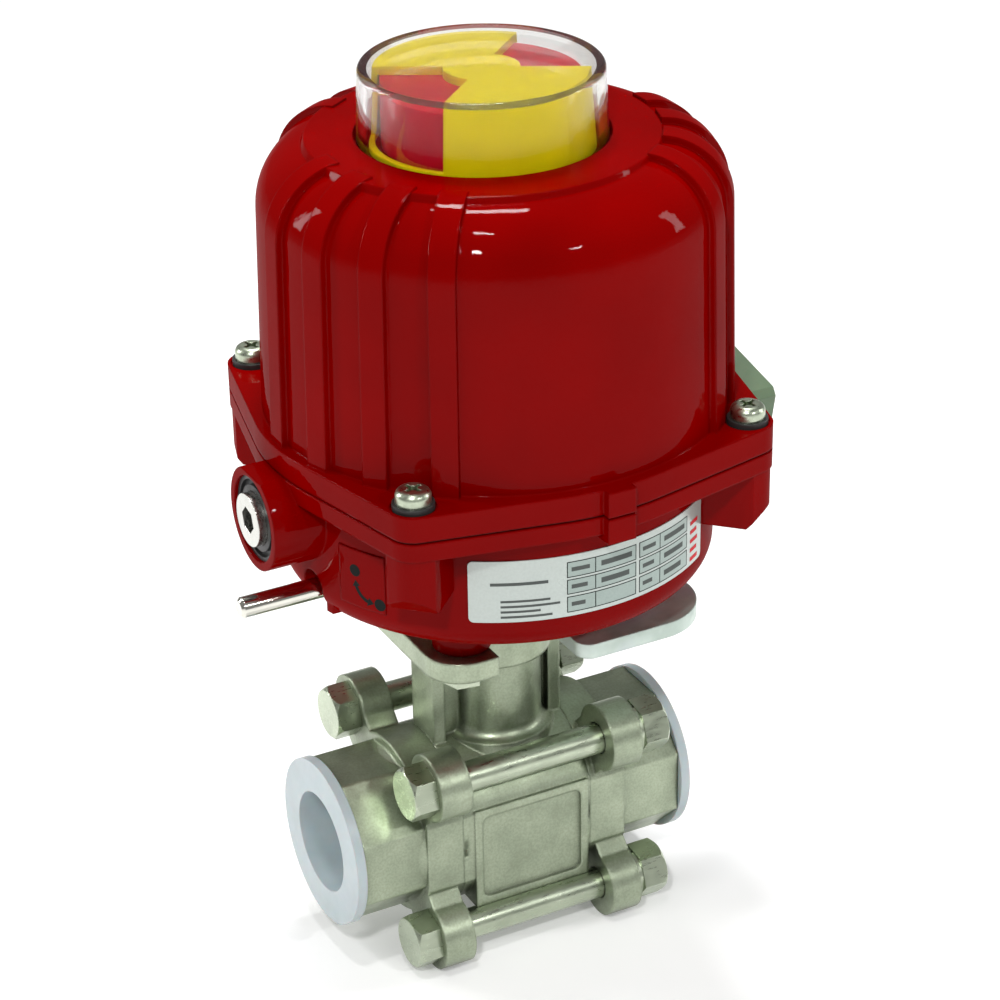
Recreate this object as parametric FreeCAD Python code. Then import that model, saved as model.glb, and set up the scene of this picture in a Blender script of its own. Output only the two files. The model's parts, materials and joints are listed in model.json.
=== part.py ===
"""Motorized quarter-turn valve actuator on a three-piece ball valve.

Frame: Z is the stem axis, X is the pipe axis, and Z = 0 is the surface under the valve's ears.
Lengths are in millimetres and angles in degrees.
"""
import FreeCAD, Part
import math
import os

V = FreeCAD.Vector
X_AXIS = V(1, 0, 0)
Y_AXIS = V(0, 1, 0)
Z_AXIS = V(0, 0, 1)

# ---- valve: driving dimensions ----
PIPE_Z = 31.5            # height of the pipe axis
VALVE_X = -2.0           # the valve's mid plane stands off the stem axis
DN_R = 12.5              # bore radius of a DN25 valve
THREAD_R = 15.15         # minor radius of the G1 port thread
THREAD_DEPTH = 16.0
END_X = 46.2             # valve centre to port face
FLANGE_X0 = 18.6         # end cap flange, inner face
FLANGE_X1 = 28.9         # end cap flange and bolt ears, outer face
EAR_X0 = 20.4            # inner face of the bolt ears
BARREL_R = 24.0
BARREL_FLAT = 22.0       # half distance over the barrel's front and rear flats
HUB_AF = 41.0            # octagonal port hub, across flats
BOLT_PITCH = 45.0        # body bolts, square pattern
EAR_R = 9.0
BOLT_R = 4.0             # M8
BOLT_HEAD_AF = 13.0
BOLT_HEAD_H = 6.4
NUT_H = 7.2
SPRING_WASHER_T = 2.2
NUT_CHAMFER = 2.6
BALL_R = 19.0
CAVITY_R = 19.6
SEAT_OUTER_R = 18.4
SEAT_X0 = 10.0
SEAT_POCKET = 1.2
SEAL_R = (20.4, 22.0)
SEAL_T = 1.6
SEAT_GAP = 0.35
MARK_X = -0.8            # middle of the recessed side panel along the pipe
MARK_Z = 27.6            # and its height
MARK_PAD = (16.6, 14.6, 22.4)      # raised side pad: half length, half height, face distance
MARK_RECESS = (14.4, 12.2, 1.0)    # recess in it: half length, half height, depth
PLUG_FLANGE_R = 22.3
PLUG_FLANGE_T = 2.6
PLUG_SPIGOT_R = 14.4
PLUG_HOLLOW_R = 13.4
PLUG_DEPTH = 12.0
PLUG_END_T = 1.6

# ---- valve neck and top works ----
NECK_Z0 = 49.5           # inside the barrel's top
NECK_R = 12.5
NECK_FILLET = 3.0
NECK_FILLET_Z = 58.0
COLLAR_NECK_R = 15.0     # the wider collar at the neck's head
COLLAR_Z0 = 76.5
GROOVE_Z = 87.0
GROOVE_DEPTH = 0.5
WEB_X = (15.0, 18.5)     # outer webs, from the mid plane
WEB_HALF_Y = 6.0
INNER_WEB_HALF_Y = 3.5
PAD_Z0 = 85.0
PAD_Z1 = 90.5
PAD_HALF = 28.7
PAD_CORNER_R = 10.0
PAD_NOTCH_X = 13.0       # the pad is cut away in front and behind between its two wings
PAD_NOTCH_Y = 11.0
STEM_R = 6.0
STEM_SQUARE = 9.0
STEM_TOP_Z = 100.5
PACKING_R = 9.4
PACKING_Z = 70.0
PACKING_RING_H = 3.0
NECK_POCKET_R = 12.2
NECK_POCKET_Z = 82.0
F05_HALF = 17.68         # half the side of the bolt square on a 50 mm pitch circle
MOUNT_SCREW_R = 3.0      # M6
MOUNT_HEAD_AF = 10.0
RUNNING = 0.05           # radial clearance of a running fit

# ---- actuator housing ----
HOUSE_X = 2.0            # the housing's centre line stands off the stem axis
BASE_Z0 = 104.0
FLOOR_Z = 109.0
PARTING_Z = 141.6
GASKET_T = 0.6
FLANGE_TOP_Z = 148.0
BASE_FLANGE_Z0 = 136.4
DECK_Z = 215.4
DRUM_R = 54.5
DRUM_FILLET = 7.0
BASE_CAVITY_R = 50.0
FLANGE_R = 60.5
SCREW_X = (-43.3, 47.0)  # the four cover screws
SCREW_Y = (-45.6, 45.6)
SCREW_R = 2.5            # M5
SCREW_HOLE_Z = 126.0
SCREW_HEAD_R = 4.3
SCREW_HEAD_H = 3.5
SCREW_HEAD_ROUND = 1.8
SCREW_SEAL_R = 5.05
SCREW_SEAL_T = 1.8
SCREW_SEAL_SINK = 0.6
LOBE_R = 6.3
LUG_HALF_W = 6.0
LUG_Z0 = 121.4
LUG_BEVEL = (4.6, 5.0)   # slanted foot of the corner lug: radial length and height
COVER_R0 = 57.8          # cover wall at the flange
COVER_R1 = 56.5          # cover wall under the shoulder
SHOULDER_R = 16.0
COVER_WALL = 4.0
RIB_W = 6.5
RIB_H = 1.7
COLLAR_R = 42.5
COLLAR_H = 1.2
RIB_ANGLES = (180, 197, 214, 231, 0, -17, -34, -51, 125, 108, 55, 72)
BOSS_R = 7.4             # mounting bosses under the base
PLATE_T = 4.0            # zinc-plated side plate under the +X bosses
PLATE_X = (3.8, 43.0)
PLATE_INNER_CORNER_R = 4.0
PLATE_HALF_Y = 41.0
PLATE_CORNER_R = 15.0
PLATE_SLOT_R = 15.6

# ---- dome and indicator ----
DOME_SEAT_Z = 213.2
DOME_TOP_Z = 233.5
DOME_R0 = 30.2
DOME_R1 = 29.4
DOME_WALL = 2.4
DOME_CAP_T = 2.0
DOME_ROUND = 1.4
DOME_GASKET_T = 0.8
INDICATOR_Z0 = 214.4
INDICATOR_TOP_Z = 231.2
INDICATOR_R = 25.8       # at the top
INDICATOR_FOOT_R = 27.0  # the skirt flares to the hoop at its foot
INDICATOR_WALL = 1.4
INDICATOR_HUB_R = 9.2
HOOP_H = 1.3
INDICATOR_TURN = 6.5     # the coloured sectors stand a little off the pipe axis
YELLOW_SPAN = 107.0
RED_DROP = 1.7           # the red sectors lie this far below the yellow ones
RED_GAP = 0.4

# ---- output train ----
SHAFT_R = 12.0
SHAFT_NECK_R = 9.0
SHAFT_TOP_R = 6.0
SHAFT_Z0 = 92.5
SHAFT_STEP_Z = 126.0
SHAFT_NECK_TOP_Z = 213.6
SHAFT_TOP_Z = 223.0
HUB_TOP_Z = 115.4
GEAR_MODULE = 0.8
OUTPUT_TEETH = 60
PINION_TEETH = 12
WHEEL_TEETH = 40
MOTOR_TEETH = 12
OUTPUT_GEAR_Z = (116.0, 121.5)
STAGE_PINION_Z = (115.6, 122.2)
CROWN_R = 11.4
CROWN_Z = (122.2, 124.4)
WHEEL_Z = (136.2, 139.4)
WHEEL_MODULE = 0.6
MOTOR_PINION_Z = (135.6, 140.4)
AXLE_R = 2.0
PLATE_Z = (141.8, 144.4)
GEAR_PLATE_R = 46.5
MOTOR_R = 15.5
MOTOR_TURN = 97.0        # bearing of the motor from the stage axle
MOTOR_H = 42.0
STOP_RING_R = 24.5       # the end stop pins and the dog under the output gear
STOP_PIN_R = 2.5
STOP_DOG_ANGLE = -28.0
STOP_ANGLES = (-40.5, 74.5)
CAM_R = 12.6
CAM_Z = (152.0, 159.0)
CAM_T = 4.0
STANDOFF_PLACES = ((38.0, 22.0), (38.0, -22.0), (-18.0, -37.0), (-12.0, 40.0))

# ---- manual drive, declutch lever and cable gland ----
MANUAL_Z = 129.3
MANUAL_BOSS_R = 13.1
MANUAL_FACE_X = -64.5
MANUAL_SHAFT_R = 6.7
MANUAL_SHAFT_X = (-65.8, -47.0)
MANUAL_PINION_X = (-45.5, -41.0)
MANUAL_BUSH_R = 9.2
MANUAL_BUSH_X = (-60.0, -49.0)
MANUAL_SEAL_R = 10.9
KEY_AF = 6.0
KEY_DEPTH = 8.0
LEVER_Y = -6.0
LEVER_Z = 109.5
LEVER_X = (-72.0, -43.5)
LEVER_R = 2.7
LEVER_HUB_R = 4.5
POCKET_HALF_Y = 4.2
DECLUTCH_SHAFT_R = 2.0
GLAND_Y = 8.0
GLAND_Z = 122.5
GLAND_BOSS_R = 12.8
GLAND_BOSS_X = 60.0
GLAND_HEX_AF = 24.0
GLAND_CAP_AF = 27.0      # the cap nut is four-sided
GLAND_CAP_X = 66.0
GLAND_X = 80.0
GLAND_TILT = 12.0
GLAND_SOCKET_R = 8.2
GLAND_THREAD_R = 8.6
GLAND_BORE_R = 6.4
GLAND_SEAL_X = (62.0, 79.0)
CABLE_R = 5.0

# ---- labels ----
NAMEPLATE_ANGLES = (-125.0, -52.0)
NAMEPLATE_Z = (113.0, 129.4)
MODE_LABEL_ANGLES = (-161.5, -147.0)
MODE_LABEL_Z = (111.5, 127.0)
LABEL_T = 0.3


# ---- helpers ----
def cyl(radius, start, end, axis=Z_AXIS, at=(0, 0, 0)):
    """A cylinder along an axis, from start to end measured along it."""
    base = V(*at) + axis * start
    return Part.makeCylinder(radius, end - start, base, axis)


def ring(outer, inner, start, end, axis=Z_AXIS, at=(0, 0, 0)):
    return cyl(outer, start, end, axis, at).cut(cyl(inner, start - 1, end + 1, axis, at))


def box(x0, x1, y0, y1, z0, z1):
    return Part.makeBox(x1 - x0, y1 - y0, z1 - z0, V(x0, y0, z0))


def polar(radius, angle, z=0.0, x=0.0):
    a = math.radians(angle)
    return V(x + radius * math.cos(a), radius * math.sin(a), z)


def face_of(points):
    return Part.Face(Part.makePolygon(list(points) + [points[0]]))


def revolved(edges, x=0.0):
    """The solid swept by a closed outline of edges in the XZ plane about the vertical axis at x."""
    face = Part.Face(Part.Wire(Part.__sortEdges__(edges)))
    solid = face.revolve(V(0, 0, 0), Z_AXIS, 360)
    solid.translate(V(x, 0, 0))
    return solid


def chain(points):
    """Straight edges through (radius, z) points, not closed."""
    corners = [V(r, 0, z) for r, z in points]
    return [Part.makeLine(a, b) for a, b in zip(corners, corners[1:])]


def arc(centre, radius, start, end):
    """An arc about a (radius, z) centre, its angles in degrees from the outward direction."""
    mid = (start + end) / 2
    spots = [V(centre[0] + radius * math.cos(math.radians(t)), 0,
               centre[1] + radius * math.sin(math.radians(t))) for t in (start, mid, end)]
    return Part.Arc(*spots).toShape()


def regular_prism(sides, across_flats, start, end, axis=Z_AXIS, at=(0, 0, 0), turn=0.0):
    """A regular prism along an axis. A flat faces the second direction at turn zero."""
    reach = across_flats / 2 / math.cos(math.pi / sides)
    rot = FreeCAD.Rotation(Z_AXIS, axis)
    points = []
    for i in range(sides):
        a = math.radians(turn + (i + 0.5) * 360 / sides)
        points.append(V(*at) + axis * start + rot.multVec(V(reach * math.cos(a), reach * math.sin(a), 0)))
    return face_of(points).extrude(axis * (end - start))


def rounded_rectangle(half_x, half_y, corner, z0, z1):
    core = box(-half_x + corner, half_x - corner, -half_y, half_y, z0, z1)
    solid = core.fuse(box(-half_x, half_x, -half_y + corner, half_y - corner, z0, z1))
    for sx in (-1, 1):
        for sy in (-1, 1):
            solid = solid.fuse(cyl(corner, z0, z1, at=(sx * (half_x - corner), sy * (half_y - corner), 0)))
    return solid.removeSplitter()


def rounded_rectangle_at(x, y, half_x, half_y, corner, z0, z1):
    solid = rounded_rectangle(half_x, half_y, corner, z0, z1)
    solid.translate(V(x, y, 0))
    return solid


def hull_to_lobe(big_r, lobe_r, x, y, z0, z1, centre_x):
    """A round lobe at (x, y) joined to a disc about (centre_x, 0) by their common tangents."""
    dx, dy = x - centre_x, y
    gap = math.hypot(dx, dy)
    lean = math.acos((big_r - lobe_r) / gap)
    heading = math.atan2(dy, dx)
    corners = []
    for side, radius, cx, cy in ((1, big_r, centre_x, 0), (1, lobe_r, x, y), (-1, lobe_r, x, y),
                                 (-1, big_r, centre_x, 0)):
        a = heading + side * lean
        corners.append(V(cx + radius * math.cos(a), cy + radius * math.sin(a), z0))
    body = face_of(corners).extrude(V(0, 0, z1 - z0))
    return body.fuse(cyl(lobe_r, z0, z1, at=(x, y, 0)))


def spur_gear(module, teeth, z0, z1, phase, at=(0, 0, 0), axis=Z_AXIS):
    """A straight-toothed wheel with generous backlash. One tooth points along phase."""
    root_r = module * (teeth / 2 - 1.2)
    tip_r = module * (teeth / 2 + 0.8)
    root_half = 0.60 * math.pi / teeth
    tip_half = 0.20 * math.pi / teeth
    rot = FreeCAD.Rotation(Z_AXIS, axis)
    points = []
    for i in range(teeth):
        a = math.radians(phase) + 2 * math.pi * i / teeth
        corners = ((root_r, -root_half), (tip_r, -tip_half), (tip_r, tip_half), (root_r, root_half))
        for radius, offset in corners:
            spot = V(radius * math.cos(a + offset), radius * math.sin(a + offset), 0)
            points.append(V(*at) + axis * z0 + rot.multVec(spot))
    return face_of(points).extrude(axis * (z1 - z0))


def sector(inner, outer, centre, span, z0, z1):
    """A ring sector about Z: centre and span are angles."""
    body = Part.makeCylinder(outer, z1 - z0, V(0, 0, z0), Z_AXIS, span)
    body.rotate(V(0, 0, 0), Z_AXIS, centre - span / 2)
    if inner:
        body = body.cut(cyl(inner, z0 - 1, z1 + 1))
    return body


def bolt_corners(half):
    return [(sx * half, sy * half) for sx in (-1, 1) for sy in (-1, 1)]


def screw_places():
    return [(x, y) for x in SCREW_X for y in SCREW_Y]


def group(solids):
    return Part.makeCompound(solids)


def save(name, shape):
    shape.exportStep("parts/" + name + ".step")


# ---- valve ----
def barrel_ring(x0, x1):
    """A length of the barrel about the pipe axis, flattened at the front and rear."""
    barrel = cyl(BARREL_R, x0, x1, X_AXIS, (0, 0, PIPE_Z))
    return barrel.common(box(x0, x1, -BARREL_FLAT, BARREL_FLAT, 0, 2 * PIPE_Z))


def neck():
    fillet_z = NECK_FILLET_Z
    wide_r = NECK_R + NECK_FILLET
    edges = chain([(0, NECK_Z0), (wide_r, NECK_Z0), (wide_r, fillet_z - NECK_FILLET)])
    edges.append(arc((wide_r, fillet_z), NECK_FILLET, 180, 270))
    edges += chain([(NECK_R, fillet_z), (NECK_R, COLLAR_Z0), (COLLAR_NECK_R, COLLAR_Z0 + 0.8)])
    edges += chain([(COLLAR_NECK_R, COLLAR_Z0 + 0.8), (COLLAR_NECK_R, PAD_Z1), (0, PAD_Z1), (0, NECK_Z0)])
    groove = ring(COLLAR_NECK_R + 1, COLLAR_NECK_R - GROOVE_DEPTH, GROOVE_Z, GROOVE_Z + 2 * GROOVE_DEPTH)
    notch = box(-PAD_NOTCH_X, PAD_NOTCH_X, -PAD_HALF, PAD_HALF, GROOVE_Z - 1, GROOVE_Z + 2)
    return revolved(edges).cut(groove.common(notch))


def mounting_pad():
    """The square pad under the actuator, cut away in front and behind between its two wings."""
    pad = rounded_rectangle(PAD_HALF, PAD_HALF, PAD_CORNER_R, PAD_Z0, PAD_Z1)
    for side in (-1, 1):
        near, far = sorted((side * PAD_NOTCH_Y, side * (PAD_HALF + 1)))
        pad = pad.cut(box(-PAD_NOTCH_X, PAD_NOTCH_X, near, far, PAD_Z0 - 1, PAD_Z1 + 1))
    return pad


def side_recess(side):
    half_x, half_z, depth = MARK_RECESS
    tool = rounded_rectangle(half_x, half_z, 2.0, 0, depth + 1)
    tool.rotate(V(0, 0, 0), X_AXIS, side * 90)
    tool.translate(V(MARK_X, side * (MARK_PAD[2] + 1), MARK_Z))
    return tool


def valve_body():
    at = (0, 0, PIPE_Z)
    body = barrel_ring(-FLANGE_X0, FLANGE_X0)
    for side in (-1, 1):
        near, far = sorted((side * WEB_X[0], side * WEB_X[1]))
        body = body.fuse(box(near, far, -WEB_HALF_Y, WEB_HALF_Y, NECK_Z0, PAD_Z0 + 1))
    body.translate(V(VALVE_X, 0, 0))
    half_x, half_z, pad_y = MARK_PAD
    body = body.fuse(box(MARK_X - half_x, MARK_X + half_x, -pad_y, pad_y, MARK_Z - half_z, MARK_Z + half_z))
    body = body.fuse(neck())
    inner_web = VALVE_X - WEB_X[0] - 1, VALVE_X + WEB_X[0] + 1
    body = body.fuse(box(*inner_web, -INNER_WEB_HALF_Y, INNER_WEB_HALF_Y, NECK_Z0, PAD_Z0 + 1))
    body = body.fuse(mounting_pad())
    for side in (-1, 1):
        body = body.cut(side_recess(side))
    body = body.cut(cyl(CAVITY_R, VALVE_X - FLANGE_X0 - 1, VALVE_X + FLANGE_X0 + 1, X_AXIS, at))
    for side in (-1, 1):
        body = body.cut(seal_ring(side))
    body = body.cut(cyl(STEM_R + RUNNING, PIPE_Z, PAD_Z1 + 1))
    body = body.cut(cyl(PACKING_R, PACKING_Z, PAD_Z1 + 1))
    body = body.cut(cyl(NECK_POCKET_R, NECK_POCKET_Z, PAD_Z1 + 1))
    for x, y in bolt_corners(F05_HALF):
        body = body.cut(cyl(MOUNT_SCREW_R + 0.3, PAD_Z0 - 1, PAD_Z1 + 1, at=(x, y, 0)))
    return body.removeSplitter()


def seal_ring(side):
    start, end = sorted((VALVE_X + side * (FLANGE_X0 - SEAL_T), VALVE_X + side * FLANGE_X0))
    return ring(SEAL_R[1], SEAL_R[0], start, end, X_AXIS, (0, 0, PIPE_Z))


def towards(side, shape):
    """Turn a shape built towards +X about the stem for the -X end, and set it on the valve's mid plane."""
    if side < 0:
        shape.rotate(V(0, 0, 0), Z_AXIS, 180)
    shape.translate(V(VALVE_X, 0, 0))
    return shape


def end_cap(side):
    at = (0, 0, PIPE_Z)
    cap = barrel_ring(FLANGE_X0, FLANGE_X1)
    reach = BOLT_PITCH / math.sqrt(2)
    for k in range(4):
        arm = box(EAR_X0, FLANGE_X1, 0, reach, -EAR_R + 1.5, EAR_R - 1.5)
        arm = arm.fuse(cyl(EAR_R, EAR_X0, FLANGE_X1, X_AXIS, (0, reach, 0)))
        arm.rotate(V(0, 0, 0), X_AXIS, 45 + 90 * k)
        arm.translate(V(*at))
        cap = cap.fuse(arm)
    cap = cap.fuse(regular_prism(8, HUB_AF, FLANGE_X1 - 1, END_X, X_AXIS, at))
    blend = Part.makeCone(BARREL_FLAT - 0.2, HUB_AF / 2 - 0.6, 3.5, V(FLANGE_X1 - 0.5, 0, PIPE_Z), X_AXIS)
    cap = cap.fuse(blend)
    cap = cap.cut(cyl(DN_R, FLANGE_X0 - 1, END_X + 1, X_AXIS, at))
    cap = cap.cut(cyl(THREAD_R, END_X - THREAD_DEPTH, END_X + 1, X_AXIS, at))
    cap = cap.cut(cyl(SEAT_OUTER_R, FLANGE_X0 - 1, FLANGE_X0 + SEAT_POCKET, X_AXIS, at))
    for y, z in bolt_corners(BOLT_PITCH / 2):
        cap = cap.cut(cyl(BOLT_R + 0.3, EAR_X0 - 1, FLANGE_X1 + 1, X_AXIS, (0, y, PIPE_Z + z)))
    return towards(side, cap.removeSplitter())


def ball_seats():
    seats = []
    for side in (-1, 1):
        start, end = sorted((side * SEAT_X0, VALVE_X + side * (FLANGE_X0 + SEAT_POCKET)))
        seat = ring(SEAT_OUTER_R, DN_R + 0.2, start, end, X_AXIS, (0, 0, PIPE_Z))
        seats.append(seat.cut(Part.makeSphere(BALL_R + SEAT_GAP, V(0, 0, PIPE_Z))))
    return group(seats)


def ball():
    """The ball stands closed at rest, its bore across the pipe."""
    solid = Part.makeSphere(BALL_R, V(0, 0, PIPE_Z))
    solid = solid.cut(cyl(DN_R, -BALL_R - 1, BALL_R + 1, Y_AXIS, (0, 0, PIPE_Z)))
    return solid.cut(box(-BALL_R, BALL_R, -3.2, 3.2, PIPE_Z + BALL_R - 4.5, PIPE_Z + BALL_R + 1))


def stem():
    solid = cyl(STEM_R, PIPE_Z + BALL_R, PAD_Z1)
    tang = box(-STEM_R, STEM_R, -3.0, 3.0, PIPE_Z + BALL_R - 4.2, PIPE_Z + BALL_R + 1)
    solid = solid.fuse(tang.common(cyl(STEM_R, PIPE_Z, PAD_Z1)))
    half = STEM_SQUARE / 2
    square = box(-half, half, -half, half, PAD_Z1 - 1, STEM_TOP_Z)
    return solid.fuse(square.common(cyl(STEM_R, PAD_Z1 - 2, STEM_TOP_Z)))


def stem_packing():
    rings = []
    for i in range(3):
        z0 = PACKING_Z + i * PACKING_RING_H
        rings.append(ring(PACKING_R, STEM_R + RUNNING, z0, z0 + PACKING_RING_H))
    return group(rings)


def gland_follower():
    z0 = PACKING_Z + 3 * PACKING_RING_H
    return ring(PACKING_R, STEM_R + RUNNING, z0, NECK_POCKET_Z + 1.2)


def stem_nut():
    nut = regular_prism(6, 19.0, NECK_POCKET_Z + 2, PAD_Z1 - 0.9)
    return nut.cut(cyl(STEM_R, NECK_POCKET_Z + 1, PAD_Z1))


def bolt_places():
    return [(y, PIPE_Z + z) for y, z in bolt_corners(BOLT_PITCH / 2)]


def body_bolt(y, z):
    """One long body bolt: its head lies against the -X ear."""
    at = (0, y, z)
    face = -FLANGE_X1 - BOLT_HEAD_H
    shank = cyl(BOLT_R, -FLANGE_X1, FLANGE_X1 + SPRING_WASHER_T + NUT_H - 0.4, X_AXIS, at)
    head = regular_prism(6, BOLT_HEAD_AF, face, -FLANGE_X1, X_AXIS, at, turn=15)
    crown = Part.makeCone(BOLT_HEAD_AF / 2 - 0.1, BOLT_HEAD_AF / 2 + 3, 3.1, V(face, y, z), X_AXIS)
    crown = crown.fuse(cyl(BOLT_HEAD_AF, face + 3.1, -FLANGE_X1, X_AXIS, at))
    return shank.fuse(head.common(crown))


def body_nut(y, z):
    at = (0, y, z)
    start = FLANGE_X1 + SPRING_WASHER_T
    shoulder = start + NUT_H - NUT_CHAMFER
    nut = regular_prism(6, BOLT_HEAD_AF, start, start + NUT_H, X_AXIS, at, turn=8)
    crown = cyl(BOLT_HEAD_AF, start, shoulder, X_AXIS, at)
    half = BOLT_HEAD_AF / 2
    crown = crown.fuse(Part.makeCone(half + NUT_CHAMFER, half, NUT_CHAMFER, V(shoulder, y, z), X_AXIS))
    return nut.common(crown).cut(cyl(BOLT_R, start - 1, start + NUT_H + 1, X_AXIS, at))


def spring_washer(y, z):
    end = FLANGE_X1 + SPRING_WASHER_T
    washer = ring(BOLT_R + 2.4, BOLT_R + 0.2, FLANGE_X1, end, X_AXIS, (0, y, z))
    return washer.cut(box(FLANGE_X1 - 1, end + 1, y - 0.6, y + 0.6, z, z + 8))


def four_of(maker):
    """One fastener on each of the four body bolt axes."""
    return towards(1, group([maker(y, z) for y, z in bolt_places()]))


def port_plug(side):
    """A soft push-in port plug: a cup with a flange against the port face."""
    at = (0, 0, PIPE_Z)
    face = END_X + RUNNING
    plug = cyl(PLUG_FLANGE_R, face, face + PLUG_FLANGE_T, X_AXIS, at)
    plug = plug.fuse(cyl(PLUG_SPIGOT_R, face - PLUG_DEPTH, face, X_AXIS, at))
    hollow = cyl(PLUG_HOLLOW_R, face - PLUG_DEPTH + PLUG_END_T, face + PLUG_FLANGE_T + 1, X_AXIS, at)
    return towards(side, plug.cut(hollow))


def mounting_plate():
    """A zinc-plated plate clamped between the pad's +X wing and the base's +X bosses."""
    x0, x1 = PLATE_X
    z0, z1 = PAD_Z1, PAD_Z1 + PLATE_T
    plate = rounded_rectangle(x1, PLATE_HALF_Y, PLATE_CORNER_R, z0, z1)
    plate = plate.common(rounded_rectangle_at(x0 + x1, 0, x1, PLATE_HALF_Y, PLATE_INNER_CORNER_R, z0, z1))
    plate = plate.cut(cyl(PLATE_SLOT_R, z0 - 1, z1 + 1))
    for sy in (-1, 1):
        plate = plate.cut(cyl(MOUNT_SCREW_R + 0.3, z0 - 1, z1 + 1, at=(F05_HALF, sy * F05_HALF, 0)))
    return plate


def mounting_screws():
    screws = []
    for x, y in bolt_corners(F05_HALF):
        shank = cyl(MOUNT_SCREW_R, PAD_Z0 - 1, 102.5, at=(x, y, 0))
        head = regular_prism(6, MOUNT_HEAD_AF, PAD_Z0 - 5.0, PAD_Z0 - 1.0, at=(x, y, 0), turn=20)
        washer = cyl(6.0, PAD_Z0 - 1.0, PAD_Z0, at=(x, y, 0))
        screws.append(shank.fuse(head).fuse(washer))
    return group(screws)


# ---- housing ----
def flange_prism(z0, z1, shrink=0.0):
    disc = cyl(FLANGE_R - shrink, z0, z1, at=(HOUSE_X, 0, 0))
    for x, y in screw_places():
        disc = disc.fuse(hull_to_lobe(FLANGE_R - shrink, LOBE_R - shrink, x, y, z0, z1, HOUSE_X))
    return disc.removeSplitter()


def corner_lug(x, y):
    """The lug round one cover screw under the flange, cut off aslant at its foot."""
    reach = math.hypot(x - HOUSE_X, y) + LOBE_R
    near = DRUM_R - 8
    top = BASE_FLANGE_Z0 + 1
    bevel_r, bevel_z = LUG_BEVEL
    outline = [(near, LUG_Z0), (reach - bevel_r, LUG_Z0), (reach, LUG_Z0 + bevel_z)]
    outline += [(reach, top), (near, top)]
    lug = face_of([V(r, -LUG_HALF_W, z) for r, z in outline]).extrude(V(0, 2 * LUG_HALF_W, 0))
    lug.rotate(V(0, 0, 0), Z_AXIS, math.degrees(math.atan2(y, x - HOUSE_X)))
    lug.translate(V(HOUSE_X, 0, 0))
    return lug


def side_tab(z0, z1):
    return box(-1.4, 6.0, -FLANGE_R - 2.3, -FLANGE_R + 4, z0, z1)


def base_shell():
    edges = chain([(0, BASE_Z0), (DRUM_R - DRUM_FILLET, BASE_Z0)])
    edges.append(arc((DRUM_R - DRUM_FILLET, BASE_Z0 + DRUM_FILLET), DRUM_FILLET, -90, 0))
    rim_z = PARTING_Z - GASKET_T
    edges += chain([(DRUM_R, BASE_Z0 + DRUM_FILLET), (DRUM_R, rim_z), (0, rim_z), (0, BASE_Z0)])
    shell = revolved(edges, HOUSE_X)
    outline = flange_prism(BASE_FLANGE_Z0, PARTING_Z - GASKET_T)
    shell = shell.fuse(outline)
    lug_outline = flange_prism(LUG_Z0 - 1, PARTING_Z, shrink=0.4)
    for x, y in screw_places():
        shell = shell.fuse(corner_lug(x, y).common(lug_outline))
    shell = shell.fuse(side_tab(134.6, PARTING_Z - GASKET_T))
    manual_boss = cyl(MANUAL_BOSS_R, MANUAL_FACE_X, -50, X_AXIS, (0, 0, MANUAL_Z))
    shell = shell.fuse(manual_boss.common(box(-80, 0, -20, 20, 100, PARTING_Z - GASKET_T)))
    shell = shell.fuse(cyl(GLAND_BOSS_R, 50, GLAND_BOSS_X, X_AXIS, (0, GLAND_Y, GLAND_Z)))
    for x, y in bolt_corners(F05_HALF):
        start = PAD_Z1 + (PLATE_T if x > 0 else 0)
        shell = shell.fuse(cyl(BOSS_R, start, BASE_Z0 + 1, at=(x, y, 0)))
    return shell


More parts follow.
